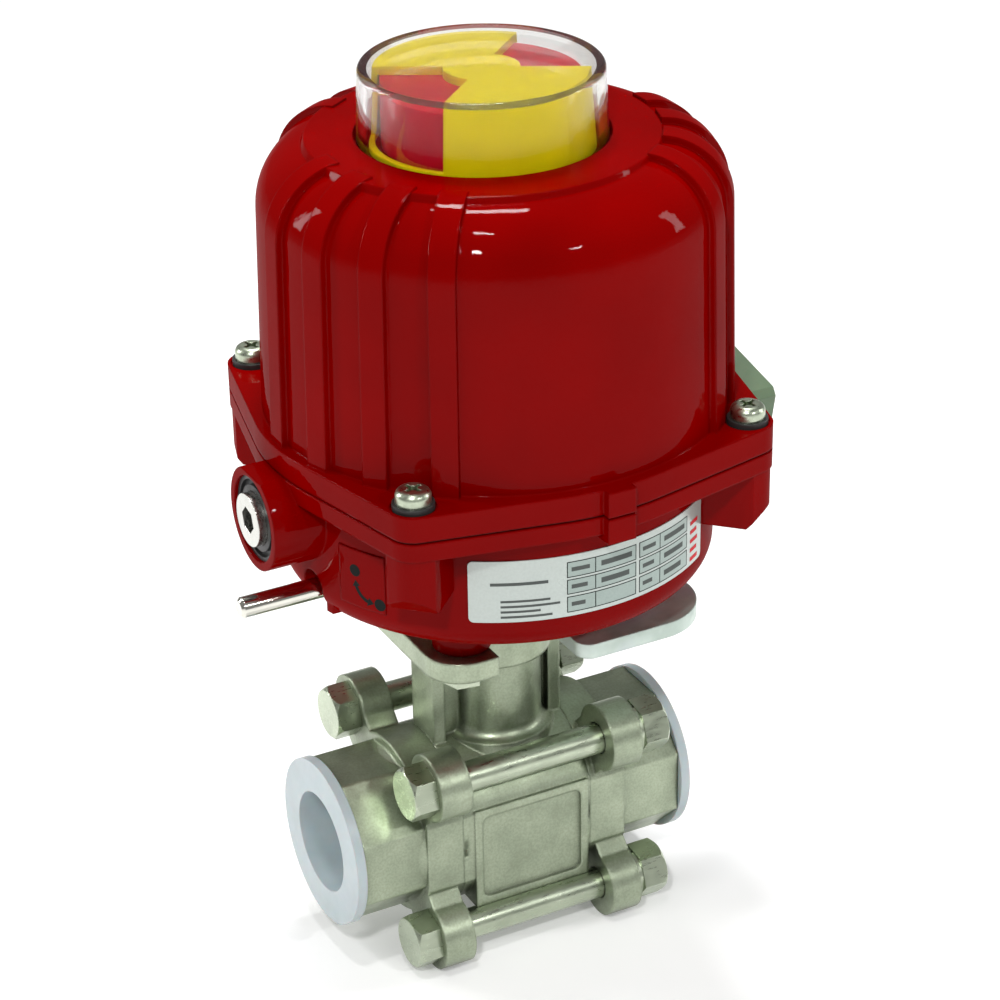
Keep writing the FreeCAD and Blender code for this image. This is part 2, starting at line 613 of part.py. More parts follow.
def base_housing():
    base = base_shell()
    base = base.cut(cyl(BASE_CAVITY_R, FLOOR_Z, PARTING_Z + 1, at=(HOUSE_X, 0, 0)))
    base = base.fuse(cyl(20.0, FLOOR_Z - 1, HUB_TOP_Z))
    base = base.cut(cyl(SHAFT_R + 3.0, BASE_Z0 - 1, HUB_TOP_Z + 1))
    block = box(-53, -36.2, LEVER_Y - 6.6, LEVER_Y + 6.6, BASE_Z0 + 1, LEVER_Z + 8.2)
    base = base.fuse(block.common(cyl(DRUM_R - 1, BASE_Z0, PARTING_Z, at=(HOUSE_X, 0, 0))))
    low, high = LEVER_Y - POCKET_HALF_Y, LEVER_Y + POCKET_HALF_Y
    pocket = box(-60, -38.4, low, high, BASE_Z0 - 1, LEVER_Z + 1)
    pocket = pocket.fuse(cyl(POCKET_HALF_Y, -60, -44.8, X_AXIS, (0, LEVER_Y, LEVER_Z + 1)))
    pocket = pocket.fuse(cyl(5.1, low, high, Y_AXIS, (LEVER_X[1], 0, LEVER_Z)))
    base = base.cut(pocket)
    cam_x = LEVER_X[1]
    pivot_r = DECLUTCH_SHAFT_R + RUNNING
    base = base.cut(cyl(pivot_r, LEVER_Y - 6.0, LEVER_Y + 12, Y_AXIS, (cam_x, 0, LEVER_Z)))
    base = base.cut(box(cam_x - 4.1, cam_x + 4.1, LEVER_Y + 6.6, LEVER_Y + 11.6, LEVER_Z - 4.0, FLOOR_Z + 1))
    base = base.cut(cyl(MANUAL_SEAL_R, MANUAL_FACE_X - 1, MANUAL_BUSH_X[0], X_AXIS, (0, 0, MANUAL_Z)))
    base = base.cut(cyl(MANUAL_BUSH_R, MANUAL_BUSH_X[0] - 1, -46, X_AXIS, (0, 0, MANUAL_Z)))
    base = base.cut(cyl(GLAND_SOCKET_R, 48, GLAND_BOSS_X + 1, X_AXIS, (0, GLAND_Y, GLAND_Z)))
    for x, y in screw_places():
        base = base.cut(cyl(SCREW_R, SCREW_HOLE_Z, PARTING_Z + 1, at=(x, y, 0)))
    for x, y in bolt_corners(F05_HALF):
        base = base.cut(cyl(MOUNT_SCREW_R, 80, 102.5, at=(x, y, 0)))
    for angle in STOP_ANGLES:
        base = base.cut(cyl(STOP_PIN_R, FLOOR_Z - 4, FLOOR_Z + 1, at=tuple(polar(STOP_RING_R, angle))))
    return base


def cover_profile(offset=0.0):
    """The cover's outer line from its flange to the deck, offset outwards."""
    r0, r1, top = COVER_R0 + offset, COVER_R1 + offset, DECK_Z + offset
    round_r = SHOULDER_R + offset
    spring = (r1 - round_r, top - round_r)
    edges = chain([(0, PARTING_Z), (r0, PARTING_Z), (r1, spring[1])])
    edges.append(arc(spring, round_r, 0, 90))
    edges += chain([(spring[0], top), (0, top), (0, PARTING_Z)])
    return edges


def cover_ribs():
    outer = revolved(cover_profile(RIB_H), HOUSE_X)
    ribs = []
    for angle in RIB_ANGLES:
        bar = box(COLLAR_R - 1.5, FLANGE_R + 5, -RIB_W / 2, RIB_W / 2, FLANGE_TOP_Z - 1, DECK_Z + 5)
        bar.rotate(V(0, 0, 0), Z_AXIS, angle)
        bar.translate(V(HOUSE_X, 0, 0))
        ribs.append(outer.common(bar))
    return ribs


def cover():
    shell = revolved(cover_profile(), HOUSE_X)
    shell = shell.fuse(flange_prism(PARTING_Z, FLANGE_TOP_Z))
    shell = shell.fuse(side_tab(PARTING_Z, 148.0))
    for rib in cover_ribs():
        shell = shell.fuse(rib)
    collar = Part.makeCone(COLLAR_R + 1.0, COLLAR_R, COLLAR_H + 1, V(0, 0, DECK_Z - 1), Z_AXIS)
    shell = shell.fuse(collar)
    inner = chain([(0, PARTING_Z - 1), (COVER_R0 - COVER_WALL, PARTING_Z - 1)])
    r1 = COVER_R1 - COVER_WALL
    round_r = SHOULDER_R - COVER_WALL
    top = DECK_Z - COVER_WALL
    inner += chain([(COVER_R0 - COVER_WALL, PARTING_Z - 1), (r1, top - round_r)])
    inner.append(arc((r1 - round_r, top - round_r), round_r, 0, 90))
    inner += chain([(r1 - round_r, top), (0, top), (0, PARTING_Z - 1)])
    shell = shell.cut(revolved(inner, HOUSE_X))
    shell = shell.fuse(cyl(16.0, top - 5, DOME_SEAT_Z))
    shell = shell.cut(cyl(SHAFT_NECK_R + 0.4, top - 8, DECK_Z + 5))
    shell = shell.cut(cyl(12.5, DOME_SEAT_Z - 5, DOME_SEAT_Z + 5))
    shell = shell.cut(cyl(DOME_R0 + 0.6, DOME_SEAT_Z, DECK_Z + 5))
    for x, y in screw_places():
        shell = shell.cut(cyl(SCREW_R + 0.3, PARTING_Z - 1, FLANGE_TOP_Z + 1, at=(x, y, 0)))
        sink_z = FLANGE_TOP_Z - SCREW_SEAL_SINK
        shell = shell.cut(cyl(SCREW_SEAL_R + 0.4, sink_z, FLANGE_TOP_Z + 12, at=(x, y, 0)))
    return shell


def cover_gasket():
    z0, z1 = PARTING_Z - GASKET_T, PARTING_Z
    gasket = flange_prism(z0, z1, shrink=0.7).cut(cyl(52.5, z0 - 1, z1 + 1, at=(HOUSE_X, 0, 0)))
    for x, y in screw_places():
        gasket = gasket.cut(cyl(SCREW_R + 0.3, z0 - 1, z1 + 1, at=(x, y, 0)))
    return gasket


def seal_top():
    return FLANGE_TOP_Z - SCREW_SEAL_SINK + SCREW_SEAL_T


def cross_recess(x, y, z):
    """The cross-shaped driver recess of a screw whose head ends at z."""
    tool = cyl(1.1, z - 2.2, z + 1)
    for angle in (20, 110):
        arm = box(-2.2, 2.2, -0.5, 0.5, z - 1.8, z + 1)
        arm.rotate(V(0, 0, 0), Z_AXIS, angle)
        tool = tool.fuse(arm)
    tool.translate(V(x, y, 0))
    return tool


def cover_screws():
    screws = []
    z0 = seal_top()
    z1 = z0 + SCREW_HEAD_H
    flat_r = SCREW_HEAD_R - SCREW_HEAD_ROUND
    for x, y in screw_places():
        shank = cyl(SCREW_R, SCREW_HOLE_Z, z0, at=(x, y, 0))
        edges = chain([(0, z0), (SCREW_HEAD_R, z0), (SCREW_HEAD_R, z1 - SCREW_HEAD_ROUND)])
        edges.append(arc((flat_r, z1 - SCREW_HEAD_ROUND), SCREW_HEAD_ROUND, 0, 90))
        edges += chain([(flat_r, z1), (0, z1), (0, z0)])
        head = revolved(edges)
        head.translate(V(x, y, 0))
        screws.append(shank.fuse(head.cut(cross_recess(x, y, z1))))
    return group(screws)


def screw_seals():
    z0 = FLANGE_TOP_Z - SCREW_SEAL_SINK
    return group([ring(SCREW_SEAL_R, SCREW_R, z0, seal_top(), at=(x, y, 0)) for x, y in screw_places()])


# ---- dome and indicator ----
def window_gasket():
    return ring(DOME_R0 - 0.1, DOME_R0 - DOME_WALL, DOME_SEAT_Z, DOME_SEAT_Z + DOME_GASKET_T)


def window_dome():
    z0 = DOME_SEAT_Z + DOME_GASKET_T
    under = DOME_TOP_Z - DOME_CAP_T
    spring = DOME_TOP_Z - DOME_ROUND
    edges = chain([(0, under), (DOME_R1 - DOME_WALL, under), (DOME_R0 - DOME_WALL, z0), (DOME_R0, z0)])
    edges += chain([(DOME_R0, z0), (DOME_R1, spring)])
    edges.append(arc((DOME_R1 - DOME_ROUND, spring), DOME_ROUND, 0, 90))
    edges += chain([(DOME_R1 - DOME_ROUND, DOME_TOP_Z), (0, DOME_TOP_Z), (0, under)])
    return revolved(edges)


def indicator_bell(foot_r, top_r, top_z):
    return Part.makeCone(foot_r, top_r, top_z - INDICATOR_Z0, V(0, 0, INDICATOR_Z0), Z_AXIS)


def indicator_yellow():
    """The bow-tie: two wide sectors with a flared skirt, a round hub and a thin hoop at the foot."""
    deck_z = INDICATOR_TOP_Z - RED_DROP - RED_GAP
    bell = indicator_bell(INDICATOR_FOOT_R, INDICATOR_R, INDICATOR_TOP_Z)
    bell = bell.cut(indicator_bell(INDICATOR_FOOT_R - INDICATOR_WALL, INDICATOR_R - INDICATOR_WALL, deck_z))
    body = cyl(INDICATOR_HUB_R, deck_z, INDICATOR_TOP_Z)
    for centre in (-90 + INDICATOR_TURN, 90 + INDICATOR_TURN):
        wedge = sector(0, INDICATOR_FOOT_R + 5, centre, YELLOW_SPAN, INDICATOR_Z0, INDICATOR_TOP_Z)
        body = body.fuse(bell.common(wedge))
    return body.fuse(bell.common(cyl(INDICATOR_FOOT_R + 5, INDICATOR_Z0, INDICATOR_Z0 + HOOP_H)))


def indicator_red():
    """The red drum that shows between the yellow sectors."""
    z0 = INDICATOR_Z0 + RED_GAP
    z1 = INDICATOR_TOP_Z - RED_DROP - RED_GAP
    drum_r = INDICATOR_R - INDICATOR_WALL - 0.3
    drum = ring(drum_r, SHAFT_TOP_R, z0, z1)
    for angle in (45, 135, 225, 315):
        drum = drum.cut(sector(SHAFT_TOP_R + 3, drum_r - 2.5, angle, 66, z0 - 1, z1 - 2))
    return drum


# ---- output train ----
def output_shaft():
    body = cyl(SHAFT_R, SHAFT_Z0, SHAFT_STEP_Z)
    body = body.fuse(cyl(SHAFT_NECK_R, SHAFT_STEP_Z, SHAFT_NECK_TOP_Z))
    body = body.fuse(cyl(SHAFT_TOP_R, SHAFT_NECK_TOP_Z, SHAFT_TOP_Z))
    half = STEM_SQUARE / 2
    socket = box(-half, half, -half, half, SHAFT_Z0 - 1, STEM_TOP_Z + 1)
    return body.cut(socket)


def output_gear():
    wheel = spur_gear(GEAR_MODULE, OUTPUT_TEETH, *OUTPUT_GEAR_Z, phase=180)
    wheel = wheel.cut(cyl(SHAFT_R, *OUTPUT_GEAR_Z))
    dog = sector(21.0, 24.4, STOP_DOG_ANGLE, 10, OUTPUT_GEAR_Z[0] - 3.2, OUTPUT_GEAR_Z[0] + 0.5)
    return wheel.fuse(dog)


def limit_cams():
    cams = []
    for z, angle in zip(CAM_Z, (0, 90)):
        disc = ring(CAM_R, SHAFT_NECK_R, z, z + CAM_T)
        flat = box(11.0, 20, -12, 12, z - 1, z + CAM_T + 1)
        flat.rotate(V(0, 0, 0), Z_AXIS, angle)
        cams.append(disc.cut(flat))
    return group(cams)


def stage_axis():
    return V(-GEAR_MODULE * (OUTPUT_TEETH + PINION_TEETH) / 2, 0, 0)


def motor_axis():
    """The motor stands where its pinion meshes with the stage wheel, clear of the output shaft."""
    arm = WHEEL_MODULE * (WHEEL_TEETH + MOTOR_TEETH) / 2
    return stage_axis() + polar(arm, MOTOR_TURN)


def stage_gear():
    at = tuple(stage_axis())
    phase = 180.0 / PINION_TEETH
    gear = spur_gear(GEAR_MODULE, PINION_TEETH, *STAGE_PINION_Z, phase=phase, at=at)
    crown = cyl(CROWN_R, *CROWN_Z, at=at)
    for i in range(24):
        tooth = box(CROWN_R - 3.0, CROWN_R, -0.55, 0.55, CROWN_Z[1] - 0.1, CROWN_Z[1] + 1.1)
        tooth.rotate(V(0, 0, 0), Z_AXIS, 15 * i)
        tooth.translate(V(*at))
        crown = crown.fuse(tooth)
    gear = gear.fuse(crown)
    gear = gear.fuse(cyl(4.2, CROWN_Z[1] - 1, WHEEL_Z[0] + 1, at=at))
    gear = gear.fuse(spur_gear(WHEEL_MODULE, WHEEL_TEETH, *WHEEL_Z, phase=MOTOR_TURN, at=at))
    return gear.cut(cyl(AXLE_R + RUNNING, 110, 145, at=at))


def stage_axle():
    return cyl(AXLE_R, FLOOR_Z, PLATE_Z[1], at=tuple(stage_axis()))


def motor_pinion():
    at = tuple(motor_axis())
    phase = MOTOR_TURN + 180 + 180.0 / MOTOR_TEETH
    pinion = spur_gear(WHEEL_MODULE, MOTOR_TEETH, *MOTOR_PINION_Z, phase=phase, at=at)
    return pinion.fuse(cyl(1.5, MOTOR_PINION_Z[1] - 1, PLATE_Z[1] + 6, at=at))


def gear_motor():
    at = tuple(motor_axis())
    z0 = PLATE_Z[1]
    can = cyl(MOTOR_R, z0, z0 + MOTOR_H, at=at)
    can = can.fuse(cyl(6.0, z0 + MOTOR_H, z0 + MOTOR_H + 2.5, at=at))
    return can.cut(cyl(1.5 + RUNNING, z0 - 1, z0 + 8, at=at))


def gear_plate():
    plate = cyl(GEAR_PLATE_R, *PLATE_Z, at=(HOUSE_X, 0, 0))
    plate = plate.cut(cyl(SHAFT_NECK_R + 3.0, PLATE_Z[0] - 1, PLATE_Z[1] + 1))
    plate = plate.cut(cyl(AXLE_R, PLATE_Z[0] - 1, PLATE_Z[1] + 1, at=tuple(stage_axis())))
    plate = plate.cut(cyl(3.2, PLATE_Z[0] - 1, PLATE_Z[1] + 1, at=tuple(motor_axis())))
    for x, y in STANDOFF_PLACES:
        plate = plate.cut(cyl(1.7, PLATE_Z[0] - 1, PLATE_Z[1] + 1, at=(x, y, 0)))
    return plate


def plate_standoffs():
    posts = []
    for x, y in STANDOFF_PLACES:
        post = regular_prism(6, 7.0, FLOOR_Z, PLATE_Z[0], at=(x, y, 0))
        posts.append(post.cut(cyl(1.5, PLATE_Z[0] - 8, PLATE_Z[0] + 1, at=(x, y, 0))))
    return group(posts)


def plate_screws():
    screws = []
    for x, y in STANDOFF_PLACES:
        shank = cyl(1.5, PLATE_Z[0] - 8, PLATE_Z[1], at=(x, y, 0))
        screws.append(shank.fuse(cyl(2.8, PLATE_Z[1], PLATE_Z[1] + 2.2, at=(x, y, 0))))
    return group(screws)


def lower_bush():
    return ring(SHAFT_R + 3.0, SHAFT_R + RUNNING, BASE_Z0 + 0.5, HUB_TOP_Z)


def upper_bush():
    return ring(SHAFT_NECK_R + 3.0, SHAFT_NECK_R + RUNNING, PLATE_Z[0] - 1.5, PLATE_Z[1] + 2.0)


def shaft_seal():
    return ring(12.5, SHAFT_NECK_R + RUNNING, DOME_SEAT_Z - 5, DOME_SEAT_Z - 0.3)


def stop_pins():
    pins = []
    for angle in STOP_ANGLES:
        pins.append(cyl(STOP_PIN_R, FLOOR_Z - 4, HUB_TOP_Z, at=tuple(polar(STOP_RING_R, angle))))
    return group(pins)


# ---- control gear ----
def limit_switches():
    bodies = []
    for z in CAM_Z:
        body = box(-10, 10, 14.5, 24.5, z - 1.1, z + CAM_T + 1.1)
        lever = box(-8, 8, 13.1, 13.6, z + 0.6, z + CAM_T - 0.6)
        hinge = box(-8, -6.5, 13.5, 14.6, z + 0.6, z + CAM_T - 0.6)
        bodies.append(body.fuse(lever).fuse(hinge))
    return group(bodies)


def switch_bracket():
    z0 = PLATE_Z[1]
    upright = box(-12, 12, 24.5, 26.1, z0, CAM_Z[1] + CAM_T + 3)
    return upright.fuse(box(-5, 12, 24.5, 35, z0, z0 + 1.6))


def terminal_block():
    z0 = PLATE_Z[1]
    block = box(29, 40, -26, 17, z0 + 3, z0 + 14)
    feet = box(31, 38, -15, -11, z0, z0 + 3).fuse(box(31, 38, 8, 12, z0, z0 + 3))
    block = block.fuse(feet)
    for i in range(8):
        y = -22.5 + 5 * i
        block = block.cut(cyl(1.7, z0 + 9, z0 + 15, at=(31.6, y, 0)))
        block = block.cut(box(36.5, 41, y - 1.6, y + 1.6, z0 + 6, z0 + 12))
    return block


def capacitor():
    z0 = PLATE_Z[1]
    return cyl(9.0, z0, z0 + 34, at=(14, -36, 0))


def heater():
    z0 = PLATE_Z[1]
    return rounded_rectangle_at(-8, -30, 6, 9, 2, z0, z0 + 9)


# ---- manual drive ----
def manual_shaft():
    at = (0, 0, MANUAL_Z)
    shaft = cyl(MANUAL_SHAFT_R, *MANUAL_SHAFT_X, X_AXIS, at)
    shaft = shaft.fuse(cyl(8.2, -48.7, -47.2, X_AXIS, at))
    shaft = shaft.fuse(cyl(3.0, -48, MANUAL_PINION_X[0] + 1, X_AXIS, at))
    shaft = shaft.fuse(spur_gear(GEAR_MODULE, PINION_TEETH, *MANUAL_PINION_X, phase=15, at=at, axis=X_AXIS))
    start = MANUAL_SHAFT_X[0]
    return shaft.cut(regular_prism(6, KEY_AF, start - 1, start + KEY_DEPTH, X_AXIS, at, turn=12))


def manual_bush():
    return ring(MANUAL_BUSH_R, MANUAL_SHAFT_R + RUNNING, *MANUAL_BUSH_X, X_AXIS, (0, 0, MANUAL_Z))


def manual_seal():
    at = (0, 0, MANUAL_Z)
    start = MANUAL_FACE_X + 0.9
    seal = ring(MANUAL_SEAL_R, MANUAL_SHAFT_R + 0.08, start, MANUAL_BUSH_X[0], X_AXIS, at)
    return seal.cut(ring(9.8, 8.4, start - 1, start + 1.2, X_AXIS, at))


def declutch_lever():
    """The polished rod and its hub. It turns with the declutch shaft."""
    x0, x1 = LEVER_X
    at = (0, LEVER_Y, LEVER_Z)
    rod = cyl(LEVER_R, x0 + 0.8, x1, X_AXIS, at)
    tip = Part.makeCone(LEVER_R - 0.8, LEVER_R, 0.8, V(x0, LEVER_Y, LEVER_Z), X_AXIS)
    hub = cyl(LEVER_HUB_R, LEVER_Y - 3.8, LEVER_Y + 3.8, Y_AXIS, (x1, 0, LEVER_Z))
    bore = cyl(DECLUTCH_SHAFT_R, LEVER_Y - 8, LEVER_Y + 8, Y_AXIS, (x1, 0, LEVER_Z))
    return rod.fuse(tip).fuse(hub).cut(bore)


def declutch_shaft():
    return cyl(DECLUTCH_SHAFT_R, LEVER_Y - 5.8, LEVER_Y + 11, Y_AXIS, (LEVER_X[1], 0, LEVER_Z))


def declutch_cam():
    cam = cyl(3.0, LEVER_Y + 7.2, LEVER_Y + 10.6, Y_AXIS, (LEVER_X[1], 0, LEVER_Z + 0.6))
    return cam.cut(cyl(DECLUTCH_SHAFT_R, LEVER_Y, LEVER_Y + 12, Y_AXIS, (LEVER_X[1], 0, LEVER_Z)))


# ---- cable gland ----
def gland_body():
    at = (0, GLAND_Y, GLAND_Z)
    body = cyl(GLAND_SOCKET_R, 52, GLAND_BOSS_X + 1, X_AXIS, at)
    body = body.fuse(cyl(9.6, GLAND_BOSS_X, GLAND_BOSS_X + 3.4, X_AXIS, at))
    body = body.fuse(regular_prism(6, GLAND_HEX_AF, GLAND_BOSS_X + 3, GLAND_CAP_X - 0.4, X_AXIS, at))
    body = body.fuse(cyl(GLAND_THREAD_R, GLAND_BOSS_X + 4, GLAND_X - 6, X_AXIS, at))
    return body.cut(cyl(GLAND_BORE_R, 51, GLAND_X, X_AXIS, at))


def gland_seal():
    return ring(GLAND_BORE_R, CABLE_R, *GLAND_SEAL_X, X_AXIS, (0, GLAND_Y, GLAND_Z))


def gland_nut():
    at = (0, GLAND_Y, GLAND_Z)
    nut = regular_prism(4, GLAND_CAP_AF, GLAND_CAP_X, GLAND_X, X_AXIS, at, turn=GLAND_TILT)
    nut = nut.common(cyl(GLAND_CAP_AF / 2 * math.sqrt(2) - 1.2, GLAND_CAP_X, GLAND_X, X_AXIS, at))
    nut = nut.cut(cyl(GLAND_THREAD_R, GLAND_CAP_X - 1, GLAND_X - 5.5, X_AXIS, at))
    return nut.cut(cyl(GLAND_BORE_R, GLAND_CAP_X, GLAND_X + 1, X_AXIS, at))


# ---- labels ----
def wrap_label(angles, heights):
    span = angles[1] - angles[0]
    patch = sector(DRUM_R, DRUM_R + LABEL_T, (angles[0] + angles[1]) / 2, span, *heights)
    patch.translate(V(HOUSE_X, 0, 0))
    return patch


def nameplate():
    return wrap_label(NAMEPLATE_ANGLES, NAMEPLATE_Z)


def mode_label():
    return wrap_label(MODE_LABEL_ANGLES, MODE_LABEL_Z)


NODES = {
    "valve_body": valve_body,
    "end_cap_left": lambda: end_cap(-1),
    "end_cap_right": lambda: end_cap(1),
    "body_seals": lambda: group([seal_ring(-1), seal_ring(1)]),
    "ball_seats": ball_seats,
    "ball": ball,
    "stem": stem,
    "stem_packing": stem_packing,
    "gland_follower": gland_follower,
    "stem_nut": stem_nut,
    "body_bolts": lambda: four_of(body_bolt),
    "body_nuts": lambda: four_of(body_nut),
    "spring_washers": lambda: four_of(spring_washer),
    "port_plug_left": lambda: port_plug(-1),
    "port_plug_right": lambda: port_plug(1),
    "mounting_plate": mounting_plate,
    "mounting_screws": mounting_screws,
    "base_housing": base_housing,
    "cover": cover,
    "cover_gasket": cover_gasket,
    "cover_screws": cover_screws,
    "screw_seals": screw_seals,
    "window_gasket": window_gasket,
    "window_dome": window_dome,
    "indicator_yellow": indicator_yellow,
    "indicator_red": indicator_red,
    "output_shaft": output_shaft,
    "output_gear": output_gear,
    "limit_cams": limit_cams,
    "stage_gear": stage_gear,
    "stage_axle": stage_axle,
    "motor_pinion": motor_pinion,
    "gear_motor": gear_motor,
    "gear_plate": gear_plate,
    "plate_standoffs": plate_standoffs,
    "plate_screws": plate_screws,
    "lower_bush": lower_bush,
    "upper_bush": upper_bush,
    "shaft_seal": shaft_seal,
    "stop_pins": stop_pins,
    "limit_switches": limit_switches,
    "switch_bracket": switch_bracket,
    "terminal_block": terminal_block,
    "capacitor": capacitor,
    "heater": heater,
    "manual_shaft": manual_shaft,
    "manual_bush": manual_bush,
    "manual_seal": manual_seal,
    "declutch_lever": declutch_lever,
    "declutch_shaft": declutch_shaft,
    "declutch_cam": declutch_cam,
    "gland_body": gland_body,
    "gland_seal": gland_seal,
    "gland_nut": gland_nut,
    "nameplate": nameplate,
    "mode_label": mode_label,
}

os.makedirs("parts", exist_ok=True)
for node, maker in NODES.items():
    shape = maker()
    save(node, shape)
    print(f"{node:18} valid {shape.isValid()} solids {len(shape.Solids)} volume {shape.Volume:10.1f}")
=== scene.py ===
"""The looks of a motorized valve actuator: red housing, clear dome and a stainless ball valve."""
import bpy
import json
import math
from mathutils import Matrix, Vector


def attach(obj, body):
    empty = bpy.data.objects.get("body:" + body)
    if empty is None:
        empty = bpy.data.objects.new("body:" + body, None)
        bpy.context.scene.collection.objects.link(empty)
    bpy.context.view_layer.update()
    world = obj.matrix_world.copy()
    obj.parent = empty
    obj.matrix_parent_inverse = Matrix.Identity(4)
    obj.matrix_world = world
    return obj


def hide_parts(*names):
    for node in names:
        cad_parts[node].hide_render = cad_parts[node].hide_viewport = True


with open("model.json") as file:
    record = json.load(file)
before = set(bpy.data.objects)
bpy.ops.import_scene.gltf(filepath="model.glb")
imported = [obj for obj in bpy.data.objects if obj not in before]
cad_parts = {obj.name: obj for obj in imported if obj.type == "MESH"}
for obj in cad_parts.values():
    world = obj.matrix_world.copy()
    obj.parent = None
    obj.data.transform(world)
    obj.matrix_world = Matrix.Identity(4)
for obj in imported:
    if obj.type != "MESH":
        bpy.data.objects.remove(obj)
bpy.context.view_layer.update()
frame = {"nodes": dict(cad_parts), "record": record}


# ---- material helpers ----
class Graph:
    """A short way to write a node material."""

    def __init__(self, name):
        self.mat = bpy.data.materials.new(name)
        self.mat.use_nodes = True
        self.tree = self.mat.node_tree
        self.bsdf = self.tree.nodes["Principled BSDF"]

    def node(self, kind, **values):
        made = self.tree.nodes.new(kind)
        for key, value in values.items():
            setattr(made, key, value)
        return made

    def link(self, source, target):
        self.tree.links.new(source, target)

    def put(self, **values):
        """Constants on the main shader's own sockets, with underscores for spaces."""
        for key, value in values.items():
            self.bsdf.inputs[key.replace("_", " ")].default_value = value

    def coords(self, scale=1.0, stretch=(1, 1, 1)):
        place = self.node("ShaderNodeTexCoord")
        mapping = self.node("ShaderNodeMapping")
        mapping.inputs["Scale"].default_value = [scale * s for s in stretch]
        self.link(place.outputs["Object"], mapping.inputs["Vector"])
        return mapping.outputs["Vector"]

    def noise(self, size, detail=3.0, roughness=0.5, stretch=(1, 1, 1)):
        """Noise whose grains are about size metres across."""
        made = self.node("ShaderNodeTexNoise")
        made.inputs["Scale"].default_value = 1.0
        made.inputs["Detail"].default_value = detail
        made.inputs["Roughness"].default_value = roughness
        self.link(self.coords(1.0 / size, stretch), made.inputs["Vector"])
        return made.outputs["Fac"]

    def remap(self, value, low, high, to_low=0.0, to_high=1.0):
        made = self.node("ShaderNodeMapRange")
        for key, number in (("From Min", low), ("From Max", high), ("To Min", to_low), ("To Max", to_high)):
            made.inputs[key].default_value = number
        self.link(value, made.inputs["Value"])
        return made.outputs["Result"]

    def math(self, operation, a, b=None):
        made = self.node("ShaderNodeMath", operation=operation)
        for socket, value in zip(made.inputs, (a, b)):
            if isinstance(value, (int, float)):
                socket.default_value = value
            elif value is not None:
                self.link(value, socket)
        return made.outputs[0]

    def mix(self, factor, a, b):
        """A colour between a and b, each a colour or an output."""
        made = self.node("ShaderNodeMix", data_type="RGBA")
        for key, value in ((0, factor), (6, a), (7, b)):
            if isinstance(value, (tuple, list)):
                made.inputs[key].default_value = (*value, 1.0) if len(value) == 3 else value
            elif isinstance(value, (int, float)):
                made.inputs[key].default_value = value
            else:
                self.link(value, made.inputs[key])
        return made.outputs[2]

    def bump(self, height, distance, strength=1.0, normal=None):
        made = self.node("ShaderNodeBump")
        made.inputs["Strength"].default_value = strength
        made.inputs["Distance"].default_value = distance
        self.link(height, made.inputs["Height"])
        if normal is not None:
            self.link(normal, made.inputs["Normal"])
        return made.outputs["Normal"]

    def soft_edges(self, radius):
        """A normal that rounds the corners of the surface over this radius."""
        made = self.node("ShaderNodeBevel", samples=6)
        made.inputs["Radius"].default_value = radius
        return made.outputs["Normal"]

    def crevice_shade(self, reach):
        """A mask for painted shade: 0 in the open, rising to 1 deep in gaps narrower than this reach."""
        made = self.node("ShaderNodeAmbientOcclusion", samples=4)
        made.inputs["Distance"].default_value = reach
        return self.remap(made.outputs["AO"], 0.85, 0.25)

    def coat_normal(self, output):
        self.link(output, self.bsdf.inputs["Coat Normal"])

    def colour(self, output):
        self.link(output, self.bsdf.inputs["Base Color"])

    def rough(self, output):
        self.link(output, self.bsdf.inputs["Roughness"])

    def normal(self, output):
        self.link(output, self.bsdf.inputs["Normal"])


def red_enamel():
    """Thick gloss enamel with a little orange peel and softened edges."""
    g = Graph("red_enamel")
    g.put(Coat_Weight=0.10, Coat_Roughness=0.02, Specular_IOR_Level=0.0)
    tone = g.remap(g.noise(0.03, 2.0), 0.3, 0.7)
    g.colour(g.mix(tone, (0.165, 0.0, 0.0), (0.20, 0.0, 0.0)))
    g.rough(g.remap(g.noise(0.004, 3.0), 0.3, 0.7, 0.36, 0.48))
    peel = g.bump(g.noise(0.0024, 1.5), 0.0001, 0.30, g.soft_edges(0.0008))
    wave = g.bump(g.noise(0.007, 1.0), 0.0003, 0.35, peel)
    g.normal(wave)
    g.coat_normal(wave)
    return g.mat


def cast_stainless():
    """Bead-blasted investment casting: fine grain, soft edges, a warm green-grey tone and painted shade
    darkening its crevices.
    """
    g = Graph("cast_stainless")
    g.put(Metallic=0.90, Specular_IOR_Level=0.4)
    tone = g.remap(g.noise(0.010, 4.0), 0.3, 0.7)
    base = g.mix(tone, (0.31, 0.36, 0.26), (0.43, 0.49, 0.36))
    speck = g.remap(g.noise(0.0006, 2.0), 0.35, 0.65, 0.0, 0.30)
    grain = g.mix(speck, base, (0.20, 0.22, 0.16))
    # Painted shade: the colour is darkened towards near-black where the ambient-occlusion mask finds
    # crevices.
    g.colour(g.mix(g.math("MULTIPLY", g.crevice_shade(0.006), 0.8), grain, (0.05, 0.055, 0.035)))
    g.rough(g.remap(g.noise(0.003, 3.0), 0.3, 0.7, 0.33, 0.46))
    g.normal(g.bump(g.noise(0.0005, 2.5), 0.00006, 0.55, g.soft_edges(0.0011)))
    return g.mat


def machined(name, colour, roughness, direction=(1, 1, 1), edge=0.0003):
    """Turned, ground or rolled metal with faint lines along one direction."""
    g = Graph(name)
    g.put(Metallic=1.0)
    tone = g.remap(g.noise(0.008, 3.0), 0.3, 0.7)
    g.colour(g.mix(tone, tuple(c * 0.82 for c in colour), colour))
    lines = g.noise(0.0008, 2.0, 0.6, direction)
    g.rough(g.remap(lines, 0.3, 0.7, roughness * 0.75, roughness * 1.3))
    g.normal(g.bump(lines, 0.00001, 0.2, g.soft_edges(edge)))
    return g.mat


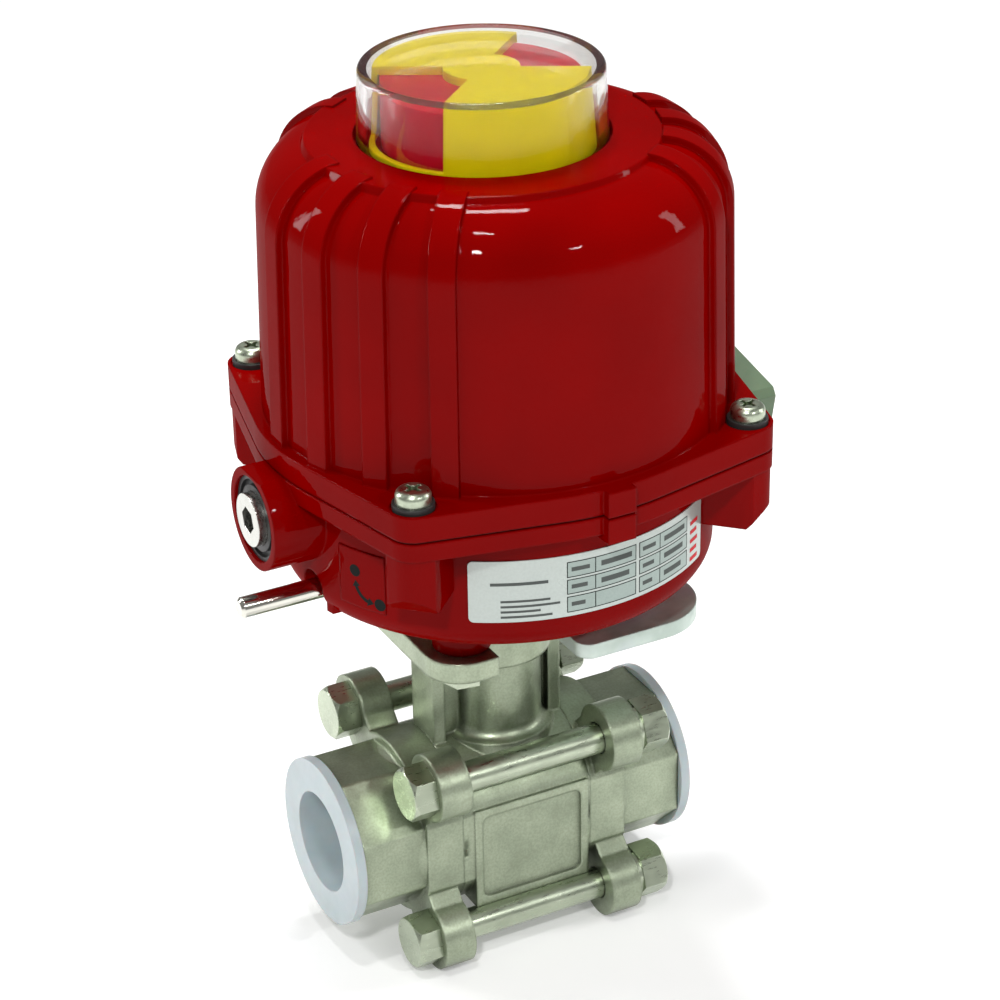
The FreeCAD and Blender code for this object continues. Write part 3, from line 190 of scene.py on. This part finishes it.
def zinc_plate():
    """Bright zinc: bluish, a little iridescent, with drifting cloudiness."""
    g = Graph("zinc_plate")
    g.put(Metallic=0.65)
    tone = g.remap(g.noise(0.009, 3.0), 0.35, 0.65)
    tint = g.mix(tone, (0.44, 0.52, 0.47), (0.60, 0.68, 0.63))
    bloom = g.remap(g.noise(0.02, 1.0), 0.5, 0.75)
    g.colour(g.mix(bloom, tint, (0.50, 0.52, 0.60)))
    g.rough(g.remap(g.noise(0.004, 3.0), 0.3, 0.7, 0.34, 0.52))
    g.normal(g.bump(g.noise(0.0012, 2.0), 0.00002, 0.3, g.soft_edges(0.0006)))
    return g.mat


def moulded(name, colour, roughness, scatter=0.0, edge=0.0004, shine=0.5):
    """Moulded plastic or rubber with a fine texture; scatter makes it a little waxy."""
    g = Graph(name)
    g.put(Subsurface_Weight=scatter, Subsurface_Scale=0.002, Specular_IOR_Level=shine)
    tone = g.remap(g.noise(0.007, 3.0), 0.3, 0.7)
    g.colour(g.mix(tone, tuple(c * 0.93 for c in colour), colour))
    g.rough(g.remap(g.noise(0.003, 3.0), 0.3, 0.7, roughness * 0.8, min(1.0, roughness * 1.2)))
    g.normal(g.bump(g.noise(0.0007, 2.0), 0.00003, 0.25, g.soft_edges(edge)))
    return g.mat


def clear_plastic():
    """Clear acrylic, faintly green, with slight moulding waves."""
    g = Graph("clear_plastic")
    g.put(Transmission_Weight=1.0, IOR=1.27, Roughness=0.01, Alpha=0.88)
    haze = g.remap(g.noise(0.02, 1.0), 0.3, 0.7)
    g.colour(g.mix(haze, (0.96, 0.985, 0.965), (0.985, 0.995, 0.985)))
    g.normal(g.bump(g.noise(0.012, 1.0), 0.0001, 0.15))
    return g.mat


def foil(name, colour, roughness):
    """A printed metal-foil label, finely grained."""
    g = Graph(name)
    g.put(Metallic=0.25, Coat_Weight=0.2, Coat_Roughness=0.15)
    grain = g.remap(g.noise(0.0006, 2.0), 0.3, 0.7)
    g.colour(g.mix(grain, tuple(c * 0.93 for c in colour), colour))
    g.rough(g.remap(g.noise(0.005, 2.0), 0.3, 0.7, roughness * 0.85, roughness * 1.15))
    return g.mat


ENAMEL = red_enamel()
MATERIALS = {
    "red_enamel": ENAMEL,
    "cast_stainless": cast_stainless(),
    "stainless": machined("stainless", (0.50, 0.56, 0.43), 0.32, (0.2, 1, 1)),
    "polished_steel": machined("polished_steel", (0.74, 0.73, 0.66), 0.12, (0.15, 1, 1)),
    "ground_steel": machined("ground_steel", (0.60, 0.60, 0.56), 0.26, (1, 1, 0.2)),
    "zinc_plate": zinc_plate(),
    "bronze": machined("bronze", (0.60, 0.40, 0.18), 0.35),
    "motor_can": machined("motor_can", (0.6, 0.6, 0.6), 0.35, (1, 1, 0.1)),
    "white_plastic": moulded("white_plastic", (0.44, 0.51, 0.53), 0.35, 0.35),
    "white_ptfe": moulded("white_ptfe", (0.86, 0.86, 0.84), 0.5, 0.3),
    "black_plastic": moulded("black_plastic", (0.03, 0.03, 0.03), 0.45),
    "grey_plastic": moulded("grey_plastic", (0.095, 0.15, 0.08), 0.5, 0.1),
    "black_rubber": moulded("black_rubber", (0.018, 0.018, 0.018), 0.5),
    "clear_plastic": clear_plastic(),
    "yellow_plastic": moulded("yellow_plastic", (0.86, 0.66, 0.002), 0.35, shine=0.1),
    "red_plastic": moulded("red_plastic", (0.50, 0.003, 0.02), 0.35, shine=0.1),
    "silver_label": foil("silver_label", (0.46, 0.51, 0.48), 0.32),
    "black_label": ENAMEL,
    "print_pale": foil("print_pale", (0.31, 0.38, 0.35), 0.4),
    "print_black": moulded("print_black", (0.012, 0.014, 0.013), 0.5, edge=0.00001, shine=0.05),
    "print_grey": moulded("print_grey", (0.09, 0.10, 0.095), 0.5, edge=0.00001, shine=0.05),
    "print_red": moulded("print_red", (0.60, 0.02, 0.03), 0.4, edge=0.00001, shine=0.05),
}

SLOT = {row["node"]: row["material_slot"] for row in frame["record"]["subparts"]}
for name, node in frame["nodes"].items():
    node.data.materials.clear()
    node.data.materials.append(MATERIALS[SLOT[name]])


# ---- printing on the two labels ----
HOUSE_X = 0.002
DRUM_R = 0.0545
FACE_R = 0.0548
FILL_R = 0.05482
PRINT_R = 0.05484
STEP = math.radians(2.0)


class Print:
    """Flat ink marks laid on the housing's drum. Places are (bearing in degrees, height in mm)."""

    def __init__(self, radius=PRINT_R):
        self.points, self.faces = [], []
        self.radius = radius

    def spot(self, angle, z):
        x, y = self.radius * math.cos(angle), self.radius * math.sin(angle)
        self.points.append((HOUSE_X + x, y, z / 1000))

    def outline(self, places):
        start = len(self.points)
        for degrees, z in places:
            self.spot(math.radians(degrees), z)
        self.faces.append(tuple(range(start, len(self.points))))

    def bar(self, a0, a1, z0, z1):
        """A rectangle, cut into narrow strips so that it follows the curve."""
        count = max(1, math.ceil(math.radians(a1 - a0) / STEP))
        for i in range(count):
            left = a0 + (a1 - a0) * i / count
            right = a0 + (a1 - a0) * (i + 1) / count
            self.outline(((left, z0), (right, z0), (right, z1), (left, z1)))

    def frame(self, a0, a1, z0, z1, line=0.22):
        turn = math.degrees(line / 1000 / PRINT_R)
        self.bar(a0, a1, z0, z0 + line)
        self.bar(a0, a1, z1 - line, z1)
        self.bar(a0, a0 + turn, z0 + line, z1 - line)
        self.bar(a1 - turn, a1, z0 + line, z1 - line)

    def make(self, name, material):
        mesh = bpy.data.meshes.new(name)
        mesh.from_pydata(self.points, [], self.faces)
        mesh.materials.append(MATERIALS[material])
        made = bpy.data.objects.new(name, mesh)
        bpy.context.scene.collection.objects.link(made)
        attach(made, "root")


def in_mm(length):
    """The bearing, in degrees, that a length in mm round the drum takes up."""
    return math.degrees(length / 1000 / PRINT_R)


# The nameplate: its foot and height in mm, its ends in degrees of bearing and its corner in mm.
PLATE_Z0, PLATE_H = 113.0, 16.4
PLATE_A0, PLATE_A1 = -125.0, -52.0
PLATE_CORNER = 1.3
# The tables: each row's share of the plate's height, and each table's left, middle and right bearing.
ROWS = ((0.635, 0.892), (0.36, 0.603), (0.062, 0.324))
TABLES = ((-100.2, -92.5, -80.4), (-79.4, -72.1, -60.3))
TITLE_LINE = (-119.5, -105.0)
SMALL_LINES_START = -117.0
SMALL_LINE_ENDS = (-104.5, -102.0, -107.0, -104.0)
RED_BARS = 5


def nameplate_print():
    lines, marks, red, fills = Print(), Print(), Print(), Print(FILL_R)
    for table, (left, middle, right) in enumerate(TABLES):
        for row, (low, high) in enumerate(ROWS):
            z0, z1 = PLATE_Z0 + low * PLATE_H, PLATE_Z0 + high * PLATE_H
            lines.frame(left, right, z0, z1)
            fills.bar(left, right, z0, z1)
            lines.bar(middle - 0.12, middle + 0.12, z0, z1)
            centre = (z0 + z1) / 2
            marks.bar(left + 1.2, middle - 1.6 - 0.6 * row, centre - 0.55, centre + 0.55)
            if (table, row) != (0, 2):
                marks.bar(middle + 1.6, right - 1.4 - 0.8 * row, centre - 0.7, centre + 0.7)
    for i, right in enumerate(SMALL_LINE_ENDS):
        z = PLATE_Z0 + PLATE_H * (0.34 - 0.085 * i)
        marks.bar(SMALL_LINES_START, right, z - 0.3, z + 0.3)
    marks.bar(*TITLE_LINE, PLATE_Z0 + PLATE_H * 0.60, PLATE_Z0 + PLATE_H * 0.65)
    for i in range(RED_BARS):
        z = PLATE_Z0 + PLATE_H * (0.10 + 0.15 * i)
        red.bar(-58.6, -54.4 - 0.5 * (i % 2), z - 0.55, z + 0.55)
    fills.make("nameplate_cells", "print_pale")
    lines.make("nameplate_lines", "print_black")
    marks.make("nameplate_marks", "print_grey")
    red.make("nameplate_red_bars", "print_red")


def rounded_nameplate():
    """The foil plate with rounded corners, standing for the plain one."""
    corner, columns = PLATE_CORNER, 60
    a0, a1 = PLATE_A0, PLATE_A1
    bearings = [a0 + (a1 - a0) * i / columns for i in range(columns + 1)]
    turns = [in_mm(corner * (1 - math.cos(math.radians(t)))) for t in (15, 30, 45, 60, 75, 90)]
    bearings += [a0 + turn for turn in turns] + [a1 - turn for turn in turns]
    mesh = bpy.data.meshes.new("nameplate_foil")
    points, faces = [], []
    for bearing in sorted(bearings):
        gap = min(bearing - a0, a1 - bearing) / in_mm(1.0)
        inset = max(0.0, corner - gap)
        drop = corner - math.sqrt(max(0.0, corner ** 2 - inset ** 2))
        angle = math.radians(bearing)
        for radius in (FACE_R, DRUM_R):
            for z in (PLATE_Z0 + drop, PLATE_Z0 + PLATE_H - drop):
                points.append((HOUSE_X + radius * math.cos(angle), radius * math.sin(angle), z / 1000))
    for i in range(len(bearings) - 1):
        k = 4 * i
        faces += [(k, k + 4, k + 5, k + 1), (k + 1, k + 5, k + 7, k + 3), (k, k + 2, k + 6, k + 4)]
    mesh.from_pydata(points, [], faces)
    mesh.materials.append(MATERIALS["silver_label"])
    made = bpy.data.objects.new("nameplate_foil", mesh)
    bpy.context.scene.collection.objects.link(made)
    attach(made, "root")
    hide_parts("nameplate")


def mode_print():
    """Two dots and a curved double arrow between them."""
    ink = Print()
    for bearing, z in ((-156.1, 121.3), (-148.6, 113.9)):
        ring = [math.radians(15 * i) for i in range(24)]
        ink.outline([(bearing + in_mm(1.6 * math.cos(t)), z + 1.6 * math.sin(t)) for t in ring])
    centre, z, reach = -150.9, 118.6, 4.9
    spots = [math.radians(188 + 9.25 * i) for i in range(9)]
    for t0, t1 in zip(spots, spots[1:]):
        edges = ((reach - 0.5, t0), (reach - 0.5, t1), (reach + 0.5, t1), (reach + 0.5, t0))
        ink.outline([(centre + in_mm(r * math.cos(t)), z + r * math.sin(t)) for r, t in edges[::-1]])
    for tip, base, order in ((178, 197, 1), (276, 255, -1)):
        head = [(r, math.radians(t)) for r, t in ((reach - 1.25, base), (reach + 1.25, base), (reach, tip))]
        places = [(centre + in_mm(r * math.cos(t)), z + r * math.sin(t)) for r, t in head]
        ink.outline(places[::order])
    ink.make("mode_marks", "print_black")


rounded_nameplate()
nameplate_print()
mode_print()


# ---- floor, lights and camera ----
# The camera as fitted to the photograph: azimuth, elevation and roll in degrees, and metres.
VIEW_ANGLES = (-27.3621, 27.6460, -1.0755)
VIEW_TARGET = Vector((0, 0, 0.114949))
VIEW_DISTANCE = 0.763027
SENSOR_MM, LENS_MM = 36.0, 108.817
SHIFT = (0.0103, 0.0102)

FLOOR_HALF = 3
FLOOR_GLOW = 0.18
SKY_COLOUR, SKY_STRENGTH = (1.0, 1.0, 0.99, 1), 0.26

# Each light's name, place, aim, size (metres) and power (watts).
LIGHTS = (
    ("key", (-0.55, -0.75, 0.95), (0, 0, 0.12), (0.08, 0.08), 6),
    ("fill", (0.95, -0.35, 0.45), (0, 0, 0.12), (0.10, 0.5), 2.6),
    ("back", (-0.7, 0.6, 0.5), (0, 0, 0.12), (0.10, 0.5), 3.6),
    ("top", (0.15, 0.35, 1.2), (0, 0, 0.10), (0.30, 0.12), 10),
    ("row_low", (0.30, -1.05, 0.85), (0, 0, 0.12), (0.12, 0.03), 3),
    ("row_high", (-0.25, -0.35, 1.30), (0, 0, 0.12), (0.12, 0.03), 3),
)


def floor():
    mesh = bpy.data.meshes.new("floor")
    h = FLOOR_HALF
    mesh.from_pydata([(-h, -h, 0), (h, -h, 0), (h, h, 0), (-h, h, 0)], [], [(0, 1, 2, 3)])
    made = bpy.data.objects.new("floor", mesh)
    bpy.context.scene.collection.objects.link(made)
    g = Graph("floor")
    g.put(Roughness=0.9)
    g.bsdf.inputs["Base Color"].default_value = (0.86, 0.86, 0.86, 1)
    g.bsdf.inputs["Emission Color"].default_value = (1, 1, 1, 1)
    g.bsdf.inputs["Emission Strength"].default_value = FLOOR_GLOW
    mesh.materials.append(g.mat)


def area(name, place, aim, size, power):
    data = bpy.data.lights.new(name, "AREA")
    data.shape = "RECTANGLE"
    data.size, data.size_y = size
    data.energy = power
    made = bpy.data.objects.new(name, data)
    bpy.context.scene.collection.objects.link(made)
    made.location = place
    made.rotation_mode = "QUATERNION"
    made.rotation_quaternion = (Vector(aim) - Vector(place)).to_track_quat("-Z", "Y")


def camera():
    azimuth, elevation, roll = (math.radians(angle) for angle in VIEW_ANGLES)
    level = math.cos(elevation)
    back = Vector((math.sin(azimuth) * level, -math.cos(azimuth) * level, math.sin(elevation)))
    right = Vector((math.cos(azimuth), math.sin(azimuth), 0))
    up = back.cross(right)
    turn, tilt = math.cos(roll), math.sin(roll)
    right, up = right * turn + up * tilt, up * turn - right * tilt
    data = bpy.data.cameras.new("camera")
    data.sensor_width = SENSOR_MM
    data.lens = LENS_MM
    data.shift_x, data.shift_y = SHIFT
    made = bpy.data.objects.new("camera", data)
    bpy.context.scene.collection.objects.link(made)
    place = VIEW_TARGET + back * VIEW_DISTANCE
    made.matrix_world = Matrix((
        (right.x, up.x, back.x, place.x),
        (right.y, up.y, back.y, place.y),
        (right.z, up.z, back.z, place.z),
        (0, 0, 0, 1),
    ))
    bpy.context.scene.camera = made


floor()
for light in LIGHTS:
    area(*light)
world = bpy.data.worlds.new("studio")
world.use_nodes = True
sky = world.node_tree.nodes["Background"]
sky.inputs["Color"].default_value = SKY_COLOUR
sky.inputs["Strength"].default_value = SKY_STRENGTH
bpy.context.scene.world = world
bpy.context.scene.view_settings.view_transform = "Standard"
camera()
